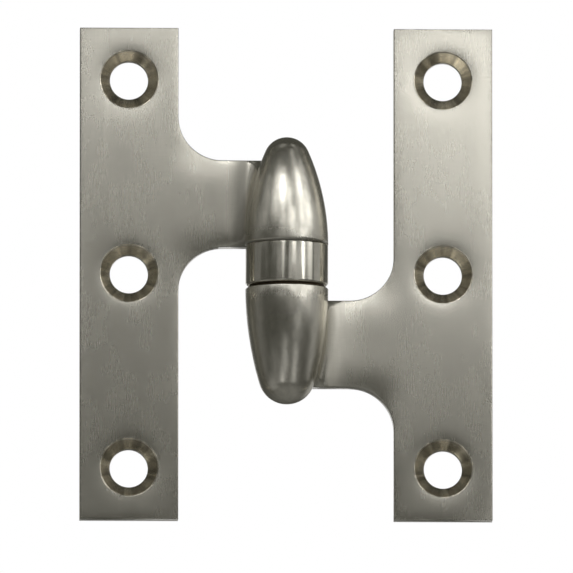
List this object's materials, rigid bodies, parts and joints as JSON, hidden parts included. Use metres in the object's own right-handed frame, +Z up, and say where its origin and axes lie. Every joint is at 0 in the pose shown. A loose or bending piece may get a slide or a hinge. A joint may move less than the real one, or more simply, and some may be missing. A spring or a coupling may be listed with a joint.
{
  "type": "paumelle hinge",
  "caption": "Lift-off paumelle hinge, H-shaped when open: plain leaves with countersunk screw holes, half-olive knuckles and a bearing ring on a fixed pin.",
  "frame": {"origin": "on the pin axis, at half the height of the leaves", "axes": "+Z up along the pin axis towards the lift-off side, -Y out of the countersunk front faces, +X towards the lower leaf, with the hinge open flat"},
  "size_m": [0.0636, 0.0128, 0.0762],
  "materials": {
    "leaf_nickel": "satin nickel plate, brushed along the height",
    "ring_nickel": "nickel plate, turned and lightly polished",
    "pin_steel": "ground",
    "washer_bronze": "darkened bronze"
  },
  "bodies": {
    "lower": {"lower_leaf": "leaf_nickel", "hinge_pin": "pin_steel", "thrust_washer": "washer_bronze"},
    "ring": {"bearing_collar": "ring_nickel"},
    "upper": {"upper_leaf": "leaf_nickel"}
  },
  "joints": [
    {"name": "swing", "type": "hinge", "parent": "lower", "child": "ring", "pos_m": [0, 0, 0], "axis": [0, 0, 1], "range_deg": [-140, 180]},
    {"name": "lift_off", "type": "slide", "parent": "ring", "child": "upper", "axis": [0, 0, 1], "range_m": [0, 0.0105]}
  ]
}
